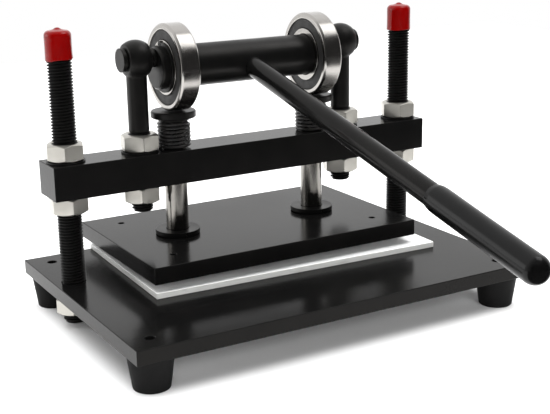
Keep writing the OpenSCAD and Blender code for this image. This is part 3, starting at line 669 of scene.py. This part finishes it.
# Cutting board
# A loose sheet of white polyethylene, sawn from a panel. It was laid down slightly askew under
# the press plate, and takes the cut and the pressure.
board_d = 157 * mm
board_w = 265 * mm
board_edge = 0.5 * mm
board_turn = math.radians(-2)

# Sawn polyethylene: milky, with fine knife scratches on top; painted shade greys its upright faces
# and underside, in streaks.
white_plastic, tree = finish("white_plastic", (0.92, 0.925, 0.915), IOR=1.5,
                             Subsurface_Weight=0.85,
                             Subsurface_Radius=(0.014, 0.014, 0.014))
gloss(tree, grain(tree, 40, 4), 0.34, 0.5)
mottle(tree, 14, 5, 0.5, (0.86, 0.87, 0.855))
upward = add(tree, "SeparateXYZ", {"Vector": add(tree, "NewGeometry").outputs["True Normal"]})
# Painted shade: the less a face looks up, the more grey is mixed in, streaked by a stretched
# noise.
upright_painted_shade = spread(tree, upward.outputs["Z"], 0.9, 0.0, 0.1, 0.7)
upright_shade_streaks = spread(tree, grain(tree, 90, 4, stretch=(1, 1, 6)), 0.7, 1.0)
tint(tree, times(tree, upright_painted_shade, upright_shade_streaks), (0.56, 0.56, 0.54))
scratch = grain(tree, 60, 2, stretch=(0.4, 14, 1))
bumps(tree, (scratch, 0.03 * mm), (grain(tree, 500, 2), 0.012 * mm))

board_low, board_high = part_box("cutting_board")
board_half = Vector((board_w, board_d, board_high.z - board_low.z)) / 2
show("white_board", block(-board_half, board_half, board_edge), white_plastic, "board",
     "cutting_board", at=(board_low + board_high) / 2, turn=Matrix.Rotation(board_turn, 4, "Z"))

# Crossbeam
# A square steel bar, painted like the plates and drilled through for the two columns, the two
# eyebolts and the two guide rods.
beam_edge = 0.6 * mm
beam_column_hole_d = 21.2 * mm
beam_eye_hole_d = 18.6 * mm
beam_rod_hole_d = 19.16 * mm
plunger_x = 67.5 * mm
beam_holes = [drill(d, s * x, column_y, beam_low.z, beam_high.z)
              for x, d in ((column_x, beam_column_hole_d), (eye_x, beam_eye_hole_d),
                           (plunger_x, beam_rod_hole_d)) for side, s in sides]
show("crossbeam_bar", cut(block(beam_low, beam_high, beam_edge), beam_holes), black_paint,
     "crossbeam", "crossbeam", sharp=40)

# Eyebolts
# Forged eyebolts, blackened: a ball with two flats is bored for the crank pin, a plain shank
# stands on the nut, and the thread goes down through the bar.
eye_ball_d = 31.5 * mm
eye_bore_d = 16.16 * mm
eye_rim = 0.5 * mm
eye_arc_steps = 32
eye_shank_d = 17 * mm
eye_shank_in_ball = 9 * mm
eye_core_in = 1 * mm
eye_relief, eye_relief_h = 0.3 * mm, 0.6 * mm
eye_shoulder_h = 2 * mm
eye_neck_fillet = 2.5 * mm
eye_fillet_steps = 8
eye_axis_z = eyes_high.z - eye_ball_d / 2
eye_thread_top = washers_high.z + nut_h + thread_pitch
lay_along_x = Matrix.Rotation(math.pi / 2, 4, "Y")


def eye_head():
    """The ball, as turned about its bore."""
    flat_r = math.sqrt((eye_ball_d / 2) ** 2 - (eye_ball_w / 2) ** 2)
    high = math.atan2(eye_ball_w / 2, flat_r)
    angles = [high * (2 * k / eye_arc_steps - 1) for k in range(1, eye_arc_steps)]
    ball = [(eye_ball_d / 2 * math.cos(a), eye_ball_d / 2 * math.sin(a)) for a in angles]
    half_w, bore_r = eye_ball_w / 2, eye_bore_d / 2
    return turned([(flat_r - eye_rim, -half_w)] + ball + [
        (flat_r - eye_rim, half_w), (bore_r + eye_rim, half_w), (bore_r, half_w - eye_rim),
        (bore_r, eye_rim - half_w), (bore_r + eye_rim, -half_w)], closed=True)


fillet_r = eye_shank_d / 2 + eye_neck_fillet
fillet_drop = math.sqrt((eye_ball_d / 2 + eye_neck_fillet) ** 2 - fillet_r ** 2)
fillet_turn = math.atan2(fillet_drop, fillet_r)
core_r, core_z = eye_thread_d / 2 - eye_core_in, eye_thread_top - eye_core_in
shank_side = [(0, core_z), (core_r, core_z),
              (eye_thread_d / 2 - eye_relief, eye_thread_top + eye_relief_h),
              (eye_shank_d / 2, eye_thread_top + eye_shoulder_h)]
shank_side += [(fillet_r - eye_neck_fillet * math.cos(fillet_turn * k / eye_fillet_steps),
                eye_axis_z - fillet_drop
                + eye_neck_fillet * math.sin(fillet_turn * k / eye_fillet_steps))
               for k in range(eye_fillet_steps + 1)]
shank_side += [(0, eye_axis_z - eye_shank_in_ball)]
for side, s in sides:
    show(side + "_eyebolt_head", eye_head(), black_oxide, "crossbeam", "eyebolts",
         at=(s * eye_x, column_y, eye_axis_z), turn=lay_along_x)
    show(side + "_eyebolt_shank", turned(shank_side), black_oxide, "crossbeam", "eyebolts",
         at=(s * eye_x, column_y, 0))
    # The eyebolt's thread takes the darker copy of the blackening, as painted shade for its
    # grooves.
    show(side + "_eyebolt_thread", threaded(eye_thread_d / 2, eyes_low.z, eye_thread_top),
         shaded_oxide_thread, "crossbeam", "eyebolts", at=(s * eye_x, column_y, 0), sharp=25)

# Eccentric shaft
# One bar turned in two settings: the thick middle carries the bearings and takes the handle, and
# the thin pins at its ends lie off its axis and turn in the eyebolts.
shaft_d = 35 * mm
shaft_end_x = 84 * mm
shaft_chamfer = 1.5 * mm
shaft_rounding = 0.15 * mm
pin_d = 16 * mm
pin_chamfer = 0.9 * mm
pin_rounding = 0.2 * mm
pin_in_shaft = 2 * mm
disc_r = 9.75 * mm
disc_h = 3.5 * mm
disc_rounding = 0.5 * mm
throw = 9 * mm
throw_lean = math.radians(19.5)
clip_x = 76.75 * mm
clip_t = 1.5 * mm
clip_play = 0.1 * mm
clip_groove_r = 16.5 * mm
shaft_y = column_y - throw * math.sin(throw_lean)
shaft_z = eye_axis_z - throw * math.cos(throw_lean)


def turned_ends(radius, end, chamfer, grooves=()):
    """The half of a bar's outline above its middle, with its grooves, then mirrored below."""
    half_side = [(radius, 0)]
    for middle, width, depth_r in grooves:
        half_side += [(radius, middle - width / 2), (depth_r, middle - width / 2),
                      (depth_r, middle + width / 2), (radius, middle + width / 2)]
    half_side += [(radius, end - chamfer), (radius - chamfer, end), (0, end)]
    below = [(r, -z) for r, z in reversed(half_side[1:])]
    return below + half_side


disc_end_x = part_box("pin_end_discs")[1].x
pin_end_x = disc_end_x - disc_h
pin_start_x = shaft_end_x - pin_in_shaft
shaft_side = turned_ends(shaft_d / 2, shaft_end_x, shaft_chamfer,
                         [(clip_x, clip_t + clip_play, clip_groove_r)])
pin_side = eased([(0, pin_start_x), (pin_d / 2, pin_start_x), (pin_d / 2, pin_end_x - pin_chamfer),
                  (pin_d / 2 - pin_chamfer, pin_end_x), (0, pin_end_x)], pin_rounding, steps=2)
disc_side = eased([(0, pin_end_x), (disc_r, pin_end_x), (disc_r, disc_end_x), (0, disc_end_x)],
                  disc_rounding)
show("eccentric_shaft_bar", turned(eased(shaft_side, shaft_rounding, steps=2), steps=128),
     black_oxide, "cam_shaft", "eccentric_shaft", at=(0, shaft_y, shaft_z), turn=lay_along_x)
for side, s in sides:
    outward = {"at": (0, column_y, eye_axis_z), "turn": Matrix.Rotation(s * math.pi / 2, 4, "Y")}
    show(side + "_crank_pin", turned(pin_side), black_oxide, "cam_shaft", "eccentric_shaft",
         **outward)
    show(side + "_pin_disc", turned(disc_side), black_oxide, "cam_shaft", "pin_end_discs",
         **outward)

# Retaining rings
# Stamped spring steel rings with two drilled lugs, sprung into the shaft's grooves outside the
# bearings to stop them from creeping off.
clip_r = 20.5 * mm
clip_inner_r = 16.55 * mm
clip_gap = 5 * mm
clip_lug_r = 3 * mm
clip_lug_out = 19 * mm
clip_hole_r = 1.25 * mm
clip_lean = math.radians(27)
clip_edge = 0.15 * mm


def stamped(inner_r, outer_r, steps):
    """A flat ring of the clip's sheet."""
    return turned(eased([(inner_r, -clip_t / 2), (outer_r, -clip_t / 2), (outer_r, clip_t / 2),
                         (inner_r, clip_t / 2)], clip_edge, closed=True, steps=1),
                  closed=True, steps=steps)


def retaining_ring():
    """The ring lies flat, with its gap towards +X."""
    gap_half = clip_gap / 2 + clip_lug_r
    lug_angle = math.asin(gap_half / clip_lug_out)
    gap = block((0, -gap_half, -clip_t), (2 * clip_r, gap_half, clip_t), clip_edge / 3)
    lugs = [moved(stamped(clip_hole_r, clip_lug_r, 48), clip_lug_out * math.cos(lug_angle),
                  s * clip_lug_out * math.sin(lug_angle)) for s in (-1, 1)]
    return joined([cut(stamped(clip_inner_r, clip_r, 128), [gap])] + lugs)


for side, s in sides:
    show(side + "_retaining_ring", retaining_ring(), black_oxide, "cam_shaft", "retaining_rings",
         at=(s * clip_x, shaft_y, shaft_z),
         turn=lay_along_x @ Matrix.Rotation(math.pi - clip_lean, 4, "Z"))

# Handle rod
# A long straight steel rod, painted, with a spigot screwed into the shaft. It points down and
# towards the person who pulls it.
handle_d = 17 * mm
handle_fall = math.radians(13.5)
rod_start = 9 * mm
rod_end = 371 * mm
rod_rounding = 0.8 * mm
down_the_handle = {"at": (0, shaft_y, shaft_z),
                   "turn": Matrix.Rotation(math.pi / 2 + handle_fall, 4, "X")}
rod_side = eased([(0, rod_start), (handle_d / 2, rod_start), (handle_d / 2, rod_end),
                  (0, rod_end)], rod_rounding)
show("handle_rod_bar", turned(rod_side), black_paint, "cam_shaft", "handle_rod",
     **down_the_handle)

# Handle grip
# A thick glossy vinyl sleeve, dipped over the rod's end: it starts with a soft step, is drawn in
# slightly where it is held, and closes in a round tip.
grip_r = 10 * mm
grip_start = 268 * mm
grip_tip = 380 * mm
grip_lip_r = 8.95 * mm
grip_lead = 4 * mm
grip_lead_drop = 0.2 * mm
grip_full = 9 * mm
grip_rounding = 0.9 * mm
grip_waist = 0.12 * mm
grip_waist_steps = 12
grip_tip_steps = 24
grip_play = 0.02 * mm

# Dipped vinyl: deep black and glossy, with slow sags and a few dull thumb marks.
black_vinyl, tree = finish("black_vinyl", (0.002, 0.002, 0.002), IOR=1.27)
gloss(tree, grain(tree, 25, 5), 0.13, 0.27)
mottle(tree, 50, 4, 0.5, (0.004, 0.004, 0.004))
bumps(tree, (grain(tree, 45, 2), 0.25 * mm), (grain(tree, 700, 2), 0.01 * mm))

grip_ball_z = grip_tip - grip_r
grip_bore_r, grip_bore_end = handle_d / 2 + grip_play, rod_end + grip_play
grip_l = grip_ball_z - grip_start - grip_full
grip_side = eased([(0, grip_bore_end), (grip_bore_r, grip_bore_end), (grip_bore_r, grip_start),
                   (grip_lip_r, grip_start), (grip_r - grip_lead_drop, grip_start + grip_lead),
                   (grip_r, grip_start + grip_full)], grip_rounding)
grip_side += [(grip_r - grip_waist * math.sin(math.pi * k / grip_waist_steps) ** 2,
               grip_start + grip_full + grip_l * k / grip_waist_steps)
              for k in range(1, grip_waist_steps)]
grip_side += [(grip_r * math.cos(k * math.pi / 2 / grip_tip_steps),
               grip_ball_z + grip_r * math.sin(k * math.pi / 2 / grip_tip_steps))
              for k in range(grip_tip_steps)] + [(0, grip_tip)]
show("grip_sleeve", turned(grip_side), black_vinyl, "cam_shaft", "handle_grip",
     **down_the_handle)

# Bearings
# Two sealed deep groove ball bearings, 72 by 35 by 17 mm, whose ground outer rings roll on the
# plunger heads. Balls and pressed cage run behind the rubber seals.
bearing_r = 36 * mm
bearing_w = 17 * mm
bearing_round = 1.6 * mm
outer_bore_r = 31 * mm
outer_edge = 0.5 * mm
race_depth = 1 * mm
inner_ring_r = 22.5 * mm
inner_bore_r = 17.52 * mm
inner_edge = 0.6 * mm
inner_rounding = 0.25 * mm
seal_recess = 0.8 * mm
seal_t = 1.2 * mm
seal_play = 0.08 * mm
seal_shoulder = 0.4 * mm
seal_bead_start, seal_bead_end, seal_groove = 0.8 * mm, 1.6 * mm, 2.0 * mm
seal_groove_depth, seal_web_depth = 0.3 * mm, 0.2 * mm
seal_lip_r = 22.8 * mm
seal_lip_foot, seal_lip_crest, seal_lip_back = 1.6 * mm, 1.1 * mm, 0.3 * mm
seal_lip_rise, seal_lip_drop = 0.1 * mm, 0.6 * mm
seal_rounding = 0.2 * mm


def turning_vector(tree):
    """Radius and height in the piece's own turning frame, for marks that run round its axis."""
    parts = add(tree, "SeparateXYZ", {"Vector": add(tree, "TexCoord").outputs["Object"]})
    flat = add(tree, "CombineXYZ", {"X": parts.outputs["X"], "Y": parts.outputs["Y"]})
    radius = add(tree, "VectorMath", {0: flat.outputs[0]}, operation="LENGTH")
    return add(tree, "CombineXYZ", {"X": radius.outputs["Value"],
                                    "Y": parts.outputs["Z"]}).outputs[0]


# Ground and polished steel, with fine grinding lines round it and a film of oil.
bearing_steel, tree = finish("bearing_steel", (0.40, 0.385, 0.365), Metallic=1.0)
gloss(tree, grain(tree, 60, 4), 0.16, 0.28)
mottle(tree, 35, 3, 0.4, (0.31, 0.297, 0.28))
bumps(tree, (grain(tree, 2500, 2, vector=turning_vector(tree)), 0.006 * mm),
      (grain(tree, 900, 2), 0.003 * mm))

# Moulded rubber on a steel insert: dark grey, matt, pebbled.
seal_rubber, tree = finish("seal_rubber", (0.010, 0.0098, 0.0095),
                           Specular_IOR_Level=0.3)
gloss(tree, grain(tree, 150, 4), 0.45, 0.65)
mottle(tree, 900, 3, 0.7, (0.028, 0.027, 0.026))
bumps(tree, (grain(tree, 1300, 2), 0.10 * mm), (grain(tree, 200, 3), 0.04 * mm))

# Pressed cage steel under grease: dull, yellowish.
pressed_steel, tree = finish("pressed_steel", (0.42, 0.36, 0.25), Metallic=1.0)
gloss(tree, grain(tree, 200, 4), 0.3, 0.55)
mottle(tree, 90, 4, 0.6, (0.25, 0.20, 0.12))
bumps(tree, (grain(tree, 600, 3), 0.03 * mm))

face = bearing_w / 2
seal_out = face - seal_recess
seal_in = seal_out - seal_t
outer_ring_side = eased([
    (outer_bore_r, outer_edge - face), (outer_bore_r + outer_edge, -face),
    (bearing_r - bearing_round, -face), (bearing_r, bearing_round - face),
    (bearing_r, face - bearing_round), (bearing_r - bearing_round, face),
    (outer_bore_r + outer_edge, face), (outer_bore_r, face - outer_edge), (outer_bore_r, seal_in),
    (outer_bore_r + race_depth, 0), (outer_bore_r, -seal_in)], outer_edge, closed=True, steps=5)
inner_ring_side = eased([
    (inner_bore_r, inner_edge - face), (inner_bore_r + inner_edge, -face), (inner_ring_r, -face),
    (inner_ring_r, face), (inner_bore_r + inner_edge, face), (inner_bore_r, face - inner_edge)],
    inner_rounding, closed=True, steps=3)
seal_side = eased([
    (outer_bore_r - seal_play, seal_in), (outer_bore_r - seal_play, seal_out - seal_shoulder),
    (outer_bore_r - seal_bead_start, seal_out), (outer_bore_r - seal_bead_end, seal_out),
    (outer_bore_r - seal_groove, seal_out - seal_groove_depth),
    (seal_lip_r + seal_lip_foot, seal_out - seal_web_depth),
    (seal_lip_r + seal_lip_crest, seal_out + seal_lip_rise),
    (seal_lip_r + seal_lip_back, seal_out), (seal_lip_r, seal_out - seal_lip_drop),
    (seal_lip_r + seal_lip_back, seal_in)], seal_rounding, closed=True, steps=3)
for side, s in sides:
    at = (s * plunger_x, shaft_y, shaft_z)
    show(side + "_bearing_outer", turned(outer_ring_side, closed=True, steps=160), bearing_steel,
         side + "_race", side + "_outer_ring", at=at, turn=lay_along_x)
    show(side + "_bearing_inner", turned(inner_ring_side, closed=True, steps=160), bearing_steel,
         "cam_shaft", side + "_inner_ring", at=at, turn=lay_along_x)
    for place, facing in (("inboard", -s), ("outboard", s)):
        show(side + "_" + place + "_seal", turned(seal_side, closed=True, steps=128), seal_rubber,
             side + "_race", side + "_seals", at=at,
             turn=Matrix.Rotation(facing * math.pi / 2, 4, "Y"))
    for node, steel in ((side + "_ball_set", bearing_steel), (side + "_ball_cage", pressed_steel)):
        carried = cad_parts[node]
        carried.data.materials.clear()
        carried.data.materials.append(steel)

# Plunger heads
# Blackened mushroom heads, screwed on the guide rods. The bearings roll on their flat tops, and
# the return springs push up under the necks.
head_r = 19 * mm
head_h = 6 * mm
head_rim = 0.9 * mm
head_rounding = 0.35 * mm
neck_r = 13 * mm
heads_low, heads_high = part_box("plunger_heads")
head_bottom_z = heads_high.z - head_h
head_side = eased([(0, heads_low.z), (neck_r, heads_low.z), (neck_r, head_bottom_z),
                   (head_r - head_rim, head_bottom_z), (head_r, head_bottom_z + head_rim),
                   (head_r, heads_high.z - head_rim), (head_r - head_rim, heads_high.z),
                   (0, heads_high.z)], head_rounding)
pair("plunger_head", turned(head_side), black_oxide, "press", "plunger_heads", plunger_x)

# Guide rods
# Two hard chromed, ground steel rods that slide through the bar and carry the press plate. The
# plunger heads are screwed on their tops.
rod_d = 19 * mm
rods_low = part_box("guide_rods")[0]


def round_bar(radius, low, high, steps=96):
    return turned([(0, low), (radius, low), (radius, high), (0, high)], steps)


# Hard chrome: bright, with drawn-out grinding marks and a thin film of oil.
chrome, tree = finish("chrome", (0.235, 0.226, 0.212), Metallic=1.0)
gloss(tree, grain(tree, 60, 4, stretch=(1, 1, 0.2)), 0.16, 0.28)
mottle(tree, 40, 3, 0.4, (0.23, 0.215, 0.19))
bumps(tree, (grain(tree, 400, 2, stretch=(1, 1, 0.05)), 0.004 * mm))

pair("guide_rod", round_bar(rod_d / 2, rods_low.z, heads_low.z), chrome, "press", "guide_rods",
     plunger_x)

# Return springs
# Blackened compression springs with closed ends, one round each rod between the bar and the
# plunger's neck. They shorten as the plunger is pushed down; here each is wound once, at its
# rest length, and is not carried with the plunger.
wire_d = 2.8 * mm
spring_r = 12.7 * mm
closed_turns = 0.75
open_turns = 5
closed_pitch_share = 1.03
rings_per_turn = 40
wire_sides = 14
spring_angles = (2.2, 2.9)


def return_spring(low, high):
    """Wire wound up the rod, its first and last turns closed on the next."""
    closed_pitch = closed_pitch_share * wire_d
    rise = high - low - wire_d
    turns = 2 * closed_turns + open_turns
    open_pitch = (rise - 2 * closed_turns * closed_pitch) / open_turns
    rings = int(turns * rings_per_turn)
    heights = [0.0]
    for i in range(rings):
        wound = i / rings_per_turn
        closed = wound < closed_turns or wound >= turns - closed_turns
        heights.append(heights[-1] + (closed_pitch if closed else open_pitch) / rings_per_turn)
    heights = [low + wire_d / 2 + h * rise / heights[-1] for h in heights]
    step, side_step = 2 * math.pi / rings_per_turn, 2 * math.pi / wire_sides
    rows = []
    for i, h in enumerate(heights):
        out = Vector((math.cos(i * step), math.sin(i * step), 0))
        ahead = heights[min(i + 1, rings)] - heights[max(i - 1, 0)]
        along = Vector((-out.y, out.x, ahead / (2 * step * spring_r))).normalized()
        up = out.cross(along)
        middle = out * spring_r + Vector((0, 0, h))
        rows.append([middle + wire_d / 2 * (out * math.cos(k * side_step)
                                            + up * math.sin(k * side_step))
                     for k in range(wire_sides)])
    return sewn(skin(rows))


# Blackened spring wire: darker and glossier than the turned parts.
spring_steel, tree = finish("spring_steel", (0.008, 0.008, 0.0085), IOR=1.4)
gloss(tree, grain(tree, 120, 4), 0.2, 0.38)
mottle(tree, 200, 3, 0.6, (0.02, 0.018, 0.016))
bumps(tree, (grain(tree, 800, 2), 0.015 * mm))

for (side, s), angle in zip(sides, spring_angles):
    spring = show(side + "_return_spring", return_spring(beam_high.z, heads_low.z), spring_steel,
                  None, side + "_spring", at=(s * plunger_x, column_y, 0),
                  turn=Matrix.Rotation(angle, 4, "Z"), sharp=60)
    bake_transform(spring)

# Shaft collars
# Flat blackened collars, bevelled underneath, held round the rods on the press plate by a small
# grub screw each.
collar_r = 19 * mm
collar_bore_r = 9.55 * mm
collar_bore_edge = 0.6 * mm
collar_bevel = 0.9 * mm
collar_edge = 0.35 * mm
grub_d = 2.5 * mm
grub_l = 7.9 * mm
grub_play = 0.1 * mm
grub_chamfer = 0.3 * mm
grub_socket_d = 1.4 * mm
grub_socket_depth = 2 * mm
collars_low, collars_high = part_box("shaft_collars")
grub_r = grub_d / 2 - grub_play
grub_end = collar_bore_r + grub_l
to_the_front = Matrix.Rotation(math.pi / 2, 4, "X")
grub_z = (collars_low.z + collars_high.z) / 2
collar_side = eased([
    (collar_bore_r, collars_low.z), (collar_r - collar_bevel, collars_low.z),
    (collar_r, collars_low.z + collar_bevel), (collar_r, collars_high.z),
    (collar_bore_r + collar_bore_edge, collars_high.z),
    (collar_bore_r, collars_high.z - collar_bore_edge)], collar_edge, closed=True, steps=3)
grub_hole = moved(round_bar(grub_d / 2, 0, 2 * collar_r, steps=32), z=grub_z, turn=to_the_front)
grub_side = [(0, collar_bore_r), (grub_r, collar_bore_r), (grub_r, grub_end - grub_chamfer),
             (grub_r - grub_chamfer, grub_end), (0, grub_end)]
grub_socket = round_bar(grub_socket_d / 2, grub_end - grub_socket_depth, grub_end + cut_past,
                        steps=6)
collar = cut(turned(collar_side, closed=True), [grub_hole])
grub_screw = cut(turned(grub_side, steps=32), [grub_socket])
for side, s in sides:
    show(side + "_collar", collar.copy(), black_oxide, "press", "shaft_collars",
         at=(s * plunger_x, column_y, 0), sharp=50)
    show(side + "_collar_grub_screw", grub_screw.copy(), black_oxide, "press",
         "collar_grub_screws", at=(s * plunger_x, column_y, grub_z), turn=to_the_front)

# Press plate
# The moving plate, painted like the base: the collars stand on it, and four holes near its
# corners take the screws of a die or a heater.
plate_edge = 0.6 * mm
die_hole_d = 5.5 * mm
die_x, die_y = 97.5 * mm, 53.5 * mm
sink_d = 18.6 * mm
sink_h = 5.8 * mm
sink_flare = 0.05 * mm
plate_low, plate_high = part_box("press_plate")
plate_holes = [drill(die_hole_d, sx * die_x, column_y + sy * die_y, plate_low.z, plate_high.z)
               for corner, sx, sy in corners]
plate_holes += [drill(sink_d, s * plunger_x, column_y, plate_low.z - cut_past,
                      plate_low.z + sink_h, flare=sink_flare) for side, s in sides]
show("press_plate_steel", cut(block(plate_low, plate_high, plate_edge), plate_holes), black_paint,
     "press", "press_plate", sharp=40)

# Press plate screws
# Socket head screws, sunk into the underside of the press plate, that draw the rods down on it.
# They are blackened, and only their heads with the hexagon sockets show, from below.
sunk_head_r = 9 * mm
sunk_head_h = 5.5 * mm
sunk_thread_r = 5 * mm
sunk_rounding = 0.4 * mm
sunk_socket_r = 4.6 * mm
sunk_socket_depth = 3.5 * mm
sunk_low, sunk_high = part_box("press_plate_screws")
neck_z = sunk_low.z + sunk_head_h
sunk_side = eased([(0, sunk_low.z), (sunk_head_r, sunk_low.z), (sunk_head_r, neck_z),
                   (sunk_thread_r, neck_z), (sunk_thread_r, sunk_high.z), (0, sunk_high.z)],
                  sunk_rounding)
sunk_socket = round_bar(sunk_socket_r, sunk_low.z - cut_past, sunk_low.z + sunk_socket_depth,
                        steps=6)
pair("press_plate_screw", cut(turned(sunk_side, steps=64), [sunk_socket]), black_oxide, "press",
     "press_plate_screws", plunger_x)
